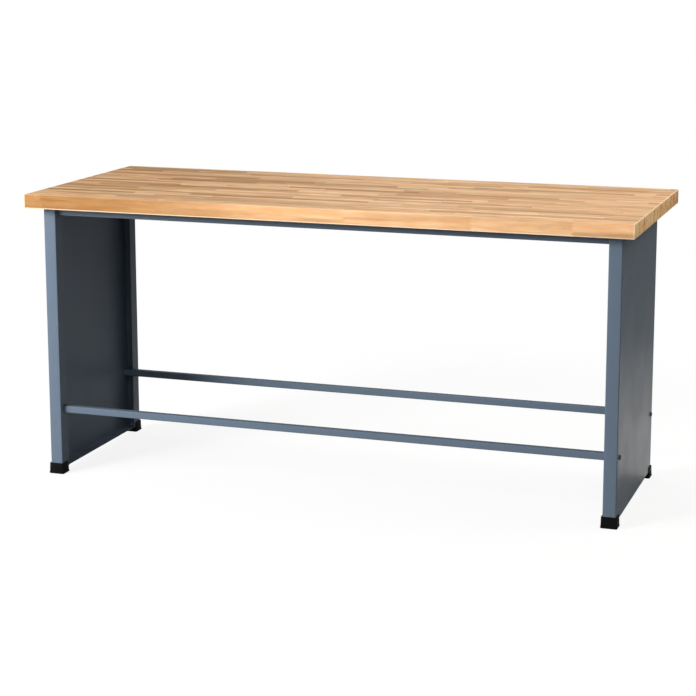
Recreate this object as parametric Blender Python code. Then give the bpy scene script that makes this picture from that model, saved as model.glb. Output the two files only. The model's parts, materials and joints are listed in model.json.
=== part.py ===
"""Modular workbench: a glued beech top on two folded sheet-steel side panels.

Two square stretchers near the floor and two rails under the top run from panel to panel, through notches
in the panels' lips. Each of them carries a threaded block in each end, and a button-head bolt through the
panel pulls it up against the sheet. The panels stand in four plastic shoes. Metres, +Z up, the front is
towards -Y, and the origin is on the floor under the middle of the top.
"""

import math

import bmesh
import bpy
from mathutils import Matrix, Vector

# Beech top
TOP_LENGTH = 1.750
TOP_DEPTH = 0.700
TOP_THICKNESS = 0.040
TOP_EASE = 0.0025
BENCH_HEIGHT = 0.830

# Folded side panels: a web with flanges on all four edges, and lips turned back on the front and rear ones
SIDE_OVERHANG = 0.038
FRONT_OVERHANG = 0.045
PANEL_DEPTH = 0.530
PANEL_CLEAR_OF_FLOOR = 0.016
SHEET = 0.0015
BEND_INNER_RADIUS = 0.0015
FLANGE_WIDTH = 0.037
LIP_DEPTH = 0.042
RELIEF_SLOT = 0.002
FLANGE_SETBACK = 0.001

# Stretchers and top rails, drawn steel tube, set back from the panel's edge
TUBE_SETBACK = 0.016
STRETCHER_SIDE = 0.020
STRETCHER_HEIGHT = 0.192
RAIL_DEPTH = 0.020
RAIL_HEIGHT = 0.025
TUBE_WALL = 0.0015
TUBE_INNER_CORNER = 0.001
NOTCH_CLEARANCE = 0.001

# Threaded end blocks and their button-head socket bolts
BLOCK_LENGTH = 0.022
BOLT_DIAMETER = 0.008
BOLT_GRIP = 0.018
BOLT_HEAD_DIAMETER = 0.014
BOLT_HEAD_HEIGHT = 0.0044
BOLT_HEAD_RIM = 0.0008
BOLT_HEAD_LAND = 0.0009
BOLT_POINT = 0.001
SOCKET_ACROSS_FLATS = 0.005
SOCKET_DEPTH = 0.0026
SOCKET_SIDES = 6
BOLT_HOLE_CLEARANCE = 0.001
RAIL_BOLT_RISE = 0.0035

# Wood screws that hold the top down
SCREW_DIAMETER = 0.006
SCREW_BITE = 0.026
SCREW_TIP = 0.008
SCREW_POINT = 0.001
SCREW_HEAD_DIAMETER = 0.013
SCREW_HEAD_HEIGHT = 0.0036
SCREW_HEAD_BEVEL = 0.0012
SCREW_HOLE_CLEARANCE = 0.001
SCREW_SLOT_TRAVEL = 0.008
SCREW_ACCESS_CLEARANCE = 0.002
PANEL_SCREWS = 3
PANEL_SCREW_MARGIN = 0.050
RAIL_SCREWS = 3
RAIL_SCREW_MARGIN = 0.310

# Plastic shoes and the screws up through their soles
FOOT_WALL = 0.0047
FOOT_HEIGHT = 0.032
FOOT_DEPTH = 0.040
FOOT_CORNER = 0.004
FOOT_SOLE_CHAMFER = 0.003
FOOT_RIM_CHAMFER = 0.0012
FOOT_SCREW_INSET = 0.019
FOOT_SCREW_DIAMETER = 0.0045
FOOT_SCREW_REACH = 0.006
FOOT_SCREW_HEAD_DIAMETER = 0.0085
FOOT_SCREW_HEAD_HEIGHT = 0.0028
FOOT_SCREW_HEAD_BEVEL = 0.0009
FOOT_SCREW_TIP = 0.0045
FOOT_SCREW_POINT = 0.0008
FOOT_SCREW_WELL = 0.007
FOOT_SCREW_WELL_CLEARANCE = 0.0012

# Clearance between pieces that touch, and how far a cutter passes the wall that it cuts
GAP = 0.0003
PAST = 0.005

# Facets, the angle from which an edge is shaded sharp, and the decimals of a metre that tell points apart
BEND_STEPS = 4
CORNER_STEPS = 3
ROUND_STEPS = 16
SCREW_STEPS = 12
DOME_STEPS = 4
SHARP_ANGLE = math.radians(40)
DECIMALS = 6

# Places worked out from the sizes
TOP_UNDERSIDE = BENCH_HEIGHT - TOP_THICKNESS
FRAME_TOP = TOP_UNDERSIDE - GAP
PANEL_FACE = TOP_LENGTH / 2 - SIDE_OVERHANG
PANEL_FRONT = -TOP_DEPTH / 2 + FRONT_OVERHANG
PANEL_MIDDLE = PANEL_FRONT + PANEL_DEPTH / 2
BEND_RADIUS = BEND_INNER_RADIUS + SHEET
TUBE_REACH = PANEL_FACE - SHEET - GAP
TUBE_CORNER = TUBE_INNER_CORNER + TUBE_WALL
STRETCHER_OFFSET = PANEL_DEPTH / 2 - TUBE_SETBACK - STRETCHER_SIDE / 2
RAIL_OFFSET = PANEL_DEPTH / 2 - TUBE_SETBACK - RAIL_DEPTH / 2
RAIL_MIDDLE = FRAME_TOP - RAIL_HEIGHT / 2
RAIL_BOLT_HEIGHT = RAIL_MIDDLE + RAIL_BOLT_RISE
TOP_FLANGE_START = TUBE_SETBACK + RAIL_DEPTH + FLANGE_SETBACK + RELIEF_SLOT
FOOT_FLANGE_START = BEND_RADIUS + FLANGE_SETBACK + RELIEF_SLOT
PANEL_SCREW_SPAN = PANEL_DEPTH - 2 * (TOP_FLANGE_START + PANEL_SCREW_MARGIN)
RAIL_SCREW_SPAN = 2 * (TUBE_REACH - RAIL_SCREW_MARGIN)
FLANGE_REACH = FLANGE_WIDTH - SHEET - FLANGE_SETBACK
FLANGE_MIDDLE = FLANGE_WIDTH / 2
SOCKET_ACROSS_CORNERS = SOCKET_ACROSS_FLATS / math.cos(math.pi / SOCKET_SIDES)
FOOT_WIDTH = FLANGE_WIDTH + 2 * (FOOT_WALL + GAP)
FOOT_SEAT = PANEL_CLEAR_OF_FLOOR - GAP

SIDES = (("left", -1), ("right", 1))
ENDS = (("front", -1), ("rear", 1))


def clear_scene():
    for thing in list(bpy.data.objects):
        bpy.data.objects.remove(thing, do_unlink=True)


def finish(name, colour, roughness, metallic):
    """A material of one colour (linear RGB)."""
    material = bpy.data.materials.new(name)
    material.use_nodes = True
    shader = material.node_tree.nodes["Principled BSDF"]
    shader.inputs["Base Color"].default_value = (*colour, 1)
    shader.inputs["Roughness"].default_value = roughness
    shader.inputs["Metallic"].default_value = metallic
    material.diffuse_color = (*colour, 1)
    return material


def mesh_from(bm, name, material=None, smooth=False):
    """Closes the bmesh into a mesh, with its round faces smooth and its edges sharp."""
    mesh = bpy.data.meshes.new(name)
    bm.to_mesh(mesh)
    bm.free()
    if material:
        mesh.materials.append(material)
    if smooth:
        mesh.shade_smooth()
        mesh.set_sharp_from_angle(angle=SHARP_ANGLE)
    return mesh


def add(name, mesh, location=(0, 0, 0), rotation=(0, 0, 0)):
    piece = bpy.data.objects.new(name, mesh)
    piece.location = location
    piece.rotation_euler = rotation
    bpy.context.collection.objects.link(piece)
    return piece


def cut(piece, cutter_mesh):
    """Takes the cutter's shape out of the piece. The cutter sits in the piece's own frame."""
    cutter = add(piece.name + "_cutter", cutter_mesh, piece.location, piece.rotation_euler)
    cutter.hide_render = True
    cutter.display_type = "WIRE"
    modifier = piece.modifiers.new("Holes", "BOOLEAN")
    modifier.operation = "DIFFERENCE"
    modifier.solver = "EXACT"
    modifier.object = cutter


def arc(centre, radius, start, end, steps):
    """Points on an arc, both ends included. Angles in degrees."""
    points = []
    for step in range(steps + 1):
        angle = math.radians(start + (end - start) * step / steps)
        points.append((centre[0] + radius * math.cos(angle), centre[1] + radius * math.sin(angle)))
    return points


def rounded_rectangle(width, height, radius, steps=CORNER_STEPS):
    """An outline about the origin, anticlockwise."""
    across = width / 2 - radius
    up = height / 2 - radius
    outline = []
    for quarter, centre in enumerate(((across, up), (-across, up), (-across, -up), (across, -up))):
        outline += arc(centre, radius, 90 * quarter, 90 * quarter + 90, steps)
    return outline


def loft(bm, rings, closed=False):
    """Adds walls that join each ring of points to the next, and the last to the first if closed."""
    loops = [[bm.verts.new(point) for point in ring] for ring in rings]
    for low, high in zip(loops, loops[1:] + loops[:1] if closed else loops[1:]):
        for i in range(len(low)):
            j = (i + 1) % len(low)
            bm.faces.new((low[i], low[j], high[j], high[i]))
    return loops


def add_solid(bm, rings):
    """Adds a closed solid through the rings."""
    loops = loft(bm, rings)
    bm.faces.new(reversed(loops[0]))
    bm.faces.new(loops[-1])
    bmesh.ops.recalc_face_normals(bm, faces=bm.faces)


def solid(rings):
    bm = bmesh.new()
    add_solid(bm, rings)
    return bm


def turned(profile, steps=ROUND_STEPS):
    """A solid of revolution about Z. The profile is (radius, height) pairs, and its ends are flat."""
    rings = []
    for radius, height in profile:
        turns = [2 * math.pi * i / steps for i in range(steps)]
        rings.append([(radius * math.cos(turn), radius * math.sin(turn), height) for turn in turns])
    return solid(rings)


def rod(bm, diameter, start, end, steps=ROUND_STEPS):
    """Adds a closed cylinder between two points, as a cutter."""
    low = Vector(start)
    high = Vector(end)
    along = high - low
    turn = along.to_track_quat("Z", "Y").to_matrix().to_4x4()
    place = Matrix.Translation((low + high) / 2) @ turn
    bmesh.ops.create_cone(
        bm, cap_ends=True, segments=steps, radius1=diameter / 2, radius2=diameter / 2,
        depth=along.length, matrix=place,
    )


def prism(bm, outline, low, high):
    """Adds a closed upright prism between two heights, as a cutter."""
    add_solid(bm, [[(x, y, height) for x, y in outline] for height in (low, high)])


def slot(width, travel, centre):
    """The outline of a slot that is long in Y."""
    half = travel / 2
    ends = (((centre[0], centre[1] + half), 0), ((centre[0], centre[1] - half), 180))
    outline = []
    for middle, start in ends:
        outline += arc(middle, width / 2, start, start + 180, ROUND_STEPS // 2)
    return outline


def spread(count, span):
    """Equally spaced places over a span that is centred on zero, or its middle for a single one."""
    if count == 1:
        return [0]
    return [(i / (count - 1) - 1 / 2) * span for i in range(count)]


def screw_places():
    """Where the wood screws enter the top, as (name, x, y, seat height under the head)."""
    places = []
    flange_x = PANEL_FACE - FLANGE_MIDDLE
    for side, sign in SIDES:
        for i, along in enumerate(spread(PANEL_SCREWS, PANEL_SCREW_SPAN), 1):
            places.append((f"top_screw_{side}_{i}", sign * flange_x, PANEL_MIDDLE + along, FRAME_TOP - SHEET))
    for end, sign in ENDS:
        for i, along in enumerate(spread(RAIL_SCREWS, RAIL_SCREW_SPAN), 1):
            row = PANEL_MIDDLE + sign * RAIL_OFFSET
            places.append((f"top_screw_{end}_{i}", along, row, FRAME_TOP - TUBE_WALL))
    return places


def make_top(beech):
    """The glued top with eased edges, and a pilot hole for each wood screw."""
    def outline(inset):
        return rounded_rectangle(TOP_LENGTH - 2 * inset, TOP_DEPTH - 2 * inset, TOP_EASE)

    rings = []
    for across, up in arc((TOP_EASE, TOP_EASE), TOP_EASE, 270, 180, CORNER_STEPS):
        rings.append([(x, y, up) for x, y in outline(across)])
    for ring in rings[::-1]:
        rings.append([(x, y, TOP_THICKNESS - z) for x, y, z in ring])
    top = add("worktop", mesh_from(solid(rings), "worktop", beech, smooth=True), (0, 0, TOP_UNDERSIDE))
    pilots = bmesh.new()
    for _, x, y, _ in screw_places():
        rod(pilots, SCREW_DIAMETER + 2 * GAP, (x, y, -PAST), (x, y, SCREW_BITE + 2 * GAP))
    cut(top, mesh_from(pilots, "pilot_holes"))


def panel_plan():
    """The outside of the folded sheet seen from above, as (inwards, backwards) from the front outer corner.

    It runs from the front lip round the front flange and along the web, and the rear half mirrors it.
    """
    radius = BEND_RADIUS
    front = [(FLANGE_WIDTH, LIP_DEPTH)]
    front += arc((FLANGE_WIDTH - radius, radius), radius, 0, -90, BEND_STEPS)
    front += arc((radius, radius), radius, -90, -180, BEND_STEPS)
    for start in (FOOT_FLANGE_START, TOP_FLANGE_START):
        front += [(0, start - RELIEF_SLOT), (0, start)]
    return front + [(inwards, PANEL_DEPTH - back) for inwards, back in reversed(front)]


def edge_fold(height, flange_height):
    """Points that fold the web's edge inwards, as (inwards, height), from the web to the free edge."""
    turn = math.copysign(1, flange_height - height)
    fold = [(BEND_RADIUS - x, height + turn * y) for x, y in arc((0, 0), BEND_RADIUS, 0, 90, BEND_STEPS)]
    return fold + [(FLANGE_REACH, flange_height)]


def make_panel_sheet():
    """The panel's outer skin as one open surface: x inwards, y backwards from the panel's middle."""
    bm = bmesh.new()
    made = {}

    def corner(inwards, back, height):
        key = tuple(round(value, DECIMALS) for value in (inwards, back, height))
        if key not in made:
            made[key] = bm.verts.new((inwards, back - PANEL_DEPTH / 2, height))
        return made[key]

    def strip(near, far):
        """Quads between two rows of points."""
        for (a, b), (c, d) in zip(zip(near, near[1:]), zip(far, far[1:])):
            bm.faces.new((corner(*a), corner(*b), corner(*d), corner(*c)))

    low = PANEL_CLEAR_OF_FLOOR
    edges = (
        (low + BEND_RADIUS, low, FOOT_FLANGE_START),
        (FRAME_TOP - BEND_RADIUS, FRAME_TOP, TOP_FLANGE_START),
    )
    plan = panel_plan()
    for near, far in zip(plan, plan[1:]):
        strip([(*near, edges[0][0]), (*near, edges[1][0])], [(*far, edges[0][0]), (*far, edges[1][0])])
        for height, flange_height, start in edges:
            on_web = near[0] == 0 and far[0] == 0
            middle = (near[1] + far[1]) / 2
            if on_web and start < middle < PANEL_DEPTH - start:
                fold = edge_fold(height, flange_height)
                rows = [[(x, back, z) for x, z in fold] for _, back in (near, far)]
            elif on_web and start - RELIEF_SLOT < middle < PANEL_DEPTH - start + RELIEF_SLOT:
                continue
            else:
                rows = [[(*point, height), (*point, flange_height)] for point in (near, far)]
            strip(*rows)
    bmesh.ops.recalc_face_normals(bm, faces=bm.faces)
    bm.faces.ensure_lookup_table()
    web = max(bm.faces, key=lambda face: face.calc_area())
    if web.normal.x > 0:
        bmesh.ops.reverse_faces(bm, faces=bm.faces)
    return bm


def notch_lips(bm):
    """Adds cutters for the notches that let the tubes through the lips, open at the lips' free edges."""
    near = FLANGE_WIDTH - SHEET - FLANGE_SETBACK / 2
    far = FLANGE_WIDTH + PAST
    shut = PANEL_DEPTH / 2 - TUBE_SETBACK + NOTCH_CLEARANCE
    free = PANEL_DEPTH / 2 - LIP_DEPTH - PAST
    beside = STRETCHER_SIDE / 2 + NOTCH_CLEARANCE
    under = FRAME_TOP - RAIL_HEIGHT - NOTCH_CLEARANCE
    heights = ((STRETCHER_HEIGHT - beside, STRETCHER_HEIGHT + beside), (under, FRAME_TOP + PAST))
    for _, sign in ENDS:
        outline = [(near, sign * shut), (far, sign * shut), (far, sign * free), (near, sign * free)]
        for low, high in heights:
            prism(bm, outline, low, high)


def panel_holes():
    """Cutters in the panel's frame: the notches, and the holes and slots for bolts and screws."""
    bm = bmesh.new()
    notch_lips(bm)
    hole = BOLT_DIAMETER + BOLT_HOLE_CLEARANCE
    for offset, height in ((STRETCHER_OFFSET, STRETCHER_HEIGHT), (RAIL_OFFSET, RAIL_BOLT_HEIGHT)):
        for _, sign in ENDS:
            rod(bm, hole, (-PAST, sign * offset, height), (SHEET + PAST, sign * offset, height))
    for along in spread(PANEL_SCREWS, PANEL_SCREW_SPAN):
        outline = slot(SCREW_DIAMETER + SCREW_HOLE_CLEARANCE, SCREW_SLOT_TRAVEL, (FLANGE_MIDDLE, along))
        prism(bm, outline, FRAME_TOP - SHEET - PAST, FRAME_TOP + PAST)
    for _, sign in ENDS:
        along = sign * (PANEL_DEPTH / 2 - FOOT_SCREW_INSET)
        low = PANEL_CLEAR_OF_FLOOR
        rod(
            bm, FOOT_SCREW_DIAMETER + 2 * GAP,
            (FLANGE_MIDDLE, along, low - PAST), (FLANGE_MIDDLE, along, low + SHEET + PAST),
        )
    return mesh_from(bm, "panel_holes")


def make_panels(paint):
    """One folded panel, and the same panel turned round for the other side."""
    sheet = mesh_from(make_panel_sheet(), "side_panel", paint, smooth=True)
    holes = panel_holes()
    for side, sign in SIDES:
        turn = 0 if sign < 0 else math.pi
        panel = add(f"side_panel_{side}", sheet, (sign * PANEL_FACE, PANEL_MIDDLE, 0), (0, 0, turn))
        thickness = panel.modifiers.new("Sheet", "SOLIDIFY")
        thickness.thickness = SHEET
        thickness.offset = -1
        thickness.use_even_offset = True
        cut(panel, holes)


def tube_mesh(name, depth, height, paint):
    """A drawn tube along X with round corners, open at both ends."""
    outer = rounded_rectangle(depth, height, TUBE_CORNER)
    inner = rounded_rectangle(depth - 2 * TUBE_WALL, height - 2 * TUBE_WALL, TUBE_INNER_CORNER)
    reach = TUBE_REACH
    rings = []
    for outline, x in ((outer, -reach), (outer, reach), (inner, reach), (inner, -reach)):
        rings.append([(x, y, z) for y, z in outline])
    bm = bmesh.new()
    loft(bm, rings, closed=True)
    bmesh.ops.recalc_face_normals(bm, faces=bm.faces)
    return mesh_from(bm, name, paint, smooth=True)


def make_tubes(paint):
    """The stretchers, and the rails with holes for the wood screws, wider below to let their heads in."""
    stretcher = tube_mesh("stretcher", STRETCHER_SIDE, STRETCHER_SIDE, paint)
    rail = tube_mesh("top_rail", RAIL_DEPTH, RAIL_HEIGHT, paint)
    holes = bmesh.new()
    outside = RAIL_HEIGHT / 2 + PAST
    inside = RAIL_HEIGHT / 2 - TUBE_WALL - PAST
    for along in spread(RAIL_SCREWS, RAIL_SCREW_SPAN):
        rod(holes, SCREW_DIAMETER + SCREW_HOLE_CLEARANCE, (along, 0, inside), (along, 0, outside))
        rod(holes, SCREW_HEAD_DIAMETER + SCREW_ACCESS_CLEARANCE, (along, 0, -outside), (along, 0, -inside))
    rail_holes = mesh_from(holes, "rail_holes")
    for end, sign in ENDS:
        add(f"stretcher_{end}", stretcher, (0, PANEL_MIDDLE + sign * STRETCHER_OFFSET, STRETCHER_HEIGHT))
        top_rail = add(f"top_rail_{end}", rail, (0, PANEL_MIDDLE + sign * RAIL_OFFSET, RAIL_MIDDLE))
        cut(top_rail, rail_holes)


def block_mesh(name, depth, height, steel):
    """A block along X that fills the tube's end."""
    wall = TUBE_WALL + GAP
    outline = rounded_rectangle(depth - 2 * wall, height - 2 * wall, TUBE_INNER_CORNER)
    rings = [[(x, y, z) for y, z in outline] for x in (0, BLOCK_LENGTH)]
    return mesh_from(solid(rings), name, steel)


def block_bore(rise):
    """The through bore for the bolt's thread, at a height above the block's middle."""
    bm = bmesh.new()
    rod(bm, BOLT_DIAMETER + 2 * GAP, (-PAST, 0, rise), (BLOCK_LENGTH + PAST, 0, rise))
    return mesh_from(bm, "block_bore")


def bolt_mesh(blackened):
    """A button-head bolt along Z with its head up, seated at height zero, with a hexagon socket."""
    radius = BOLT_DIAMETER / 2
    end = -SHEET - BOLT_GRIP
    head = BOLT_HEAD_DIAMETER / 2
    rise = BOLT_HEAD_HEIGHT - BOLT_HEAD_RIM
    crown = SOCKET_ACROSS_CORNERS / 2 + BOLT_HEAD_LAND
    profile = [(radius - BOLT_POINT, end), (radius, end + BOLT_POINT), (radius, 0), (head, 0)]
    for step in range(DOME_STEPS + 1):
        turn = math.radians(90 * step / DOME_STEPS)
        out = crown + (head - crown) * math.cos(turn)
        profile.append((out, BOLT_HEAD_RIM + rise * math.sin(turn)))
    return mesh_from(turned(profile), "bolt", blackened, smooth=True)


def socket_mesh():
    """The hexagon that is cut into a bolt's head."""
    bm = bmesh.new()
    low = BOLT_HEAD_HEIGHT - SOCKET_DEPTH
    rod(bm, SOCKET_ACROSS_CORNERS, (0, 0, low), (0, 0, BOLT_HEAD_HEIGHT + PAST), steps=SOCKET_SIDES)
    return mesh_from(bm, "socket")


def make_bolts_and_blocks(steel, blackened):
    """A block in each tube end, and the bolt that draws it to the panel, above the middle in the rails."""
    bolt = bolt_mesh(blackened)
    socket = socket_mesh()
    kinds = (
        ("stretcher", block_mesh("stretcher_block", STRETCHER_SIDE, STRETCHER_SIDE, steel),
         STRETCHER_OFFSET, STRETCHER_HEIGHT, 0),
        ("rail", block_mesh("rail_block", RAIL_DEPTH, RAIL_HEIGHT, steel),
         RAIL_OFFSET, RAIL_MIDDLE, RAIL_BOLT_RISE),
    )
    for kind, block, offset, height, rise in kinds:
        bore = block_bore(rise)
        for end, back in ENDS:
            row = PANEL_MIDDLE + back * offset
            for side, sign in SIDES:
                turn = 0 if sign < 0 else math.pi
                place = (sign * TUBE_REACH, row, height)
                cut(add(f"{kind}_block_{end}_{side}", block, place, (0, 0, turn)), bore)
                seat = (sign * (PANEL_FACE + GAP), row, height + rise)
                cut(add(f"{kind}_bolt_{end}_{side}", bolt, seat, (0, sign * math.pi / 2, 0)), socket)


def pan_screw_mesh(name, length, shank, head, steel):
    """A pan-head screw along Z, point up, with its head's seat at height zero.

    The shank is (diameter, length of the tip, diameter of the point), the head (diameter, height, bevel).
    """
    diameter, tip, point = shank
    head_diameter, head_height, bevel = head
    profile = [
        (head_diameter / 2 - bevel, -head_height), (head_diameter / 2, -head_height + bevel),
        (head_diameter / 2, 0), (diameter / 2, 0), (diameter / 2, length - tip), (point / 2, length),
    ]
    return mesh_from(turned(profile, SCREW_STEPS), name, steel, smooth=True)


def make_top_screws(steel):
    """Screws up through the panels' flanges and through the upper walls of the rails."""
    shank = (SCREW_DIAMETER, SCREW_TIP, SCREW_POINT)
    head = (SCREW_HEAD_DIAMETER, SCREW_HEAD_HEIGHT, SCREW_HEAD_BEVEL)
    meshes = {}
    for name, x, y, seat in screw_places():
        length = round(TOP_UNDERSIDE - seat + SCREW_BITE, DECIMALS)
        if length not in meshes:
            meshes[length] = pan_screw_mesh("top_screw", length, shank, head, steel)
        add(name, meshes[length], (x, y, seat - GAP))


def foot_mesh(plastic):
    """A block the size of a shoe, with a chamfered sole and rim. Y runs backwards."""
    def outline(inset):
        return rounded_rectangle(FOOT_WIDTH - 2 * inset, FOOT_DEPTH - 2 * inset, FOOT_CORNER)

    levels = (
        (0, FOOT_SOLE_CHAMFER),
        (FOOT_SOLE_CHAMFER, 0),
        (FOOT_HEIGHT - FOOT_RIM_CHAMFER, 0),
        (FOOT_HEIGHT, FOOT_RIM_CHAMFER),
    )
    rings = [[(x, y, height) for x, y in outline(inset)] for height, inset in levels]
    return mesh_from(solid(rings), "foot", plastic, smooth=True)


def foot_pocket():
    """The seat for the panel's corner, open upwards and backwards."""
    bm = bmesh.new()
    front = -FOOT_DEPTH / 2 + FOOT_WALL
    rear = FOOT_DEPTH / 2 + PAST
    wide = FLANGE_WIDTH / 2 + GAP
    prism(bm, [(-wide, front), (wide, front), (wide, rear), (-wide, rear)], FOOT_SEAT, FOOT_HEIGHT + PAST)
    return mesh_from(bm, "foot_pocket")


def foot_hole(name, diameter, low, high):
    """An upright round hole in the shoe where its screw goes."""
    bm = bmesh.new()
    along = FOOT_SCREW_INSET + FOOT_WALL + GAP - FOOT_DEPTH / 2
    rod(bm, diameter, (0, along, low), (0, along, high))
    return mesh_from(bm, name)


def make_feet(plastic, steel):
    """Four shoes, the rear ones turned round, and a screw up through each sole into the panel."""
    shoe = foot_mesh(plastic)
    well = FOOT_SCREW_HEAD_DIAMETER + FOOT_SCREW_WELL_CLEARANCE
    cutters = (
        foot_pocket(),
        foot_hole("foot_screw_hole", FOOT_SCREW_DIAMETER + 2 * GAP, 0, FOOT_SEAT + PAST),
        foot_hole("foot_screw_well", well, -PAST, FOOT_SCREW_WELL),
    )
    length = PANEL_CLEAR_OF_FLOOR + SHEET - FOOT_SCREW_WELL + FOOT_SCREW_REACH
    shank = (FOOT_SCREW_DIAMETER, FOOT_SCREW_TIP, FOOT_SCREW_POINT)
    head = (FOOT_SCREW_HEAD_DIAMETER, FOOT_SCREW_HEAD_HEIGHT, FOOT_SCREW_HEAD_BEVEL)
    screw = pan_screw_mesh("foot_screw", length, shank, head, steel)
    middle = PANEL_DEPTH / 2 + FOOT_WALL + GAP - FOOT_DEPTH / 2
    fixing = PANEL_DEPTH / 2 - FOOT_SCREW_INSET
    for end, back in ENDS:
        turn = 0 if back < 0 else math.pi
        for side, sign in SIDES:
            x = sign * (PANEL_FACE - FLANGE_MIDDLE)
            foot = add(f"foot_{end}_{side}", shoe, (x, PANEL_MIDDLE + back * middle, 0), (0, 0, turn))
            for cutter in cutters:
                cut(foot, cutter)
            add(f"foot_screw_{end}_{side}", screw, (x, PANEL_MIDDLE + back * fixing, FOOT_SCREW_WELL - GAP))


def main():
    clear_scene()
    beech = finish("oiled_beech", (0.69, 0.45, 0.25), 0.5, 0)
    paint = finish("blue_grey_paint", (0.125, 0.160, 0.205), 0.42, 0)
    plastic = finish("black_plastic", (0.012, 0.013, 0.013), 0.55, 0)
    steel = finish("zinc_plated_steel", (0.42, 0.43, 0.45), 0.35, 1)
    blackened = finish("blackened_steel", (0.030, 0.031, 0.033), 0.4, 1)
    make_top(beech)
    make_panels(paint)
    make_tubes(paint)
    make_bolts_and_blocks(steel, blackened)
    make_top_screws(steel)
    make_feet(plastic, steel)


main()
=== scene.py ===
"""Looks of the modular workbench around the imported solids: fine surfaces, materials, light and camera."""

import json
import math

import bmesh
import bpy
from mathutils import Matrix, Vector


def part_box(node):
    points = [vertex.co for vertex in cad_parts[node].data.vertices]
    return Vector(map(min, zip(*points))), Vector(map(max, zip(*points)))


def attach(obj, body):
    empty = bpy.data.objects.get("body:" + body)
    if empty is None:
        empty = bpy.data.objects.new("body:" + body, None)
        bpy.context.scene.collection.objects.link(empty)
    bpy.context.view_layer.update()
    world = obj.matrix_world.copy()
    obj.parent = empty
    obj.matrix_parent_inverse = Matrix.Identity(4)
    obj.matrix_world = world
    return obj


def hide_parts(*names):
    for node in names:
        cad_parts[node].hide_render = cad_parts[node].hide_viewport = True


# Beech top: rows of staves along X, each row cut into random lengths by finger joints
STAVE_ROWS = 28
STAVE_LENGTH = 0.37
JOINT_SPREAD = 0.62
ROW_SHIFT = 9.0
FINGER_LENGTH = 0.010
FINGER_PITCH = 0.008
TOP_EASE = 0.0018
EASE_STEPS = 6

# A short block closes the front stave up to this X. The step gives it a stave number of its own
END_BLOCK = -0.825
END_BLOCK_STEP = 40.0

# Seeds for the chance values of rows, joints and staves
ROW_SEED = (0.37, 0.71)
JOINT_SEED = 0.19
STAVE_SEED = 0.53

# Tones of the staves: where the dark ones end, in stave lengths, and how far the front stave is calmed
STAVE_MIDDLE = 0.8
DARK_STAVES = (0.1, 0.5, 0.0, 0.13)
FRONT_CALM = (-0.75, 0.45)

# Growth rings: where a stave's pith may lie, how far it leans, and how the rings are bent, spaced and shaded
PITH_SIDE = 0.24
PITH_DEPTH = 0.015
PITH_DEPTH_SPREAD = 0.12
PITH_LEAN = 0.05
RING_WARP = 0.013
RING_WARP_SCALE = (2.4, 13.0, 13.0)
RING_WARP_STEP = 40.0
RING_SPACING = 0.0028
RING_SPACING_SPREAD = 0.0030
RING_RISE = 2.5
RING_FALL = 14

# Patterns in the wood: their step from stave to stave, and the scale of each along X, Y and Z
PATTERN_STEP = (3, 3, 3)
FIBRE_SCALE = (14, 620, 620)
STREAK_SCALE = (1.9, 48, 48)
FIGURE_SCALE = (12, 66, 66)
HEART_SCALE = (1.4, 46, 46)
FLECK_SCALE = (330, 2100, 2100)

# The span of each pattern that is used, and for shades the factors on the wood's colour at its two ends
HEART_SPAN = (0.60, 0.66)
FLECK_SPAN = (0.62, 0.74)
FIGURE_SPAN = (0.38, 0.62)
RING_SHADE = (0.0, 1.0, 1.0, 0.80)
FIBRE_SHADE = (0.25, 0.75, 0.93, 1.06)
STREAK_SHADE = (0.30, 0.62, 0.77, 1.09)
FIGURE_SHADE = (0.35, 0.65, 0.88, 1.08)
HEART_SHADE = (0.0, 1.0, 1.0, 0.74)
FLECK_SHADE = (0.0, 1.0, 1.0, 0.86)

# Colours of the wood: staves from dark to pale, and pairs of tints that it is multiplied by
STAVE_TONES = (
    (0.00, (0.385, 0.230, 0.121)),
    (0.07, (0.440, 0.268, 0.144)),
    (0.14, (0.512, 0.320, 0.177)),
    (0.26, (0.608, 0.384, 0.219)),
    (0.55, (0.655, 0.422, 0.248)),
    (0.90, (0.698, 0.458, 0.278)),
    (1.00, (0.741, 0.494, 0.306)),
)
STAVE_TINTS = ((1.03, 0.97, 0.92), (0.97, 1.02, 1.03))
FIGURE_TINTS = ((1.02, 0.965, 0.92), (0.985, 1.02, 1.05))
# Painted shade: tints that darken the wood towards the left end, and the X where the darkening stops
LEFT_SHADE_TINTS = ((0.90, 0.85, 0.78), (1, 1, 1))
LEFT_SHADE_END = 0.1
PALEST_WOOD = (0.89, 0.89, 0.89)

# Edges of the top: how far a face turns before it counts as an edge, the painted shade and light on the front
# edge, the painted light on the end grain, and the painted highlights on the arrises
EDGE_FROM = 0.3
EDGE_FULL = 0.9
FRONT_EDGE_LIGHT_SPAN = (-0.70, 0.15)
FRONT_EDGE_LIGHT_TINTS = ((0.73, 0.64, 0.46), (1.53, 1.46, 1.36))
# Painted light on the end grain, from its front to its rear
END_GRAIN_LIGHT_TINTS = ((1.80, 1.66, 1.48), (1.50, 1.36, 1.20))
ARRIS_HIGHLIGHT_FADE = (0.0018, 0.0036, 0.6, 0.0)
ARRIS_HIGHLIGHT_COLOUR = (0.92, 0.77, 0.56)

# Glue joints, and the relief and roughness of the wood
GLUE_FADE = (0.0001, 0.0006, 1.0, 0.0)
GLUE_SHARE = 0.45
GLUE_COLOUR = (0.26, 0.14, 0.065)
FIBRE_RELIEF = 0.6
FLECK_RELIEF = -0.6
GLUE_RELIEF = 1.2
WOOD_ROUGHNESS = (0.2, 0.8, 0.56, 0.70)

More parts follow.
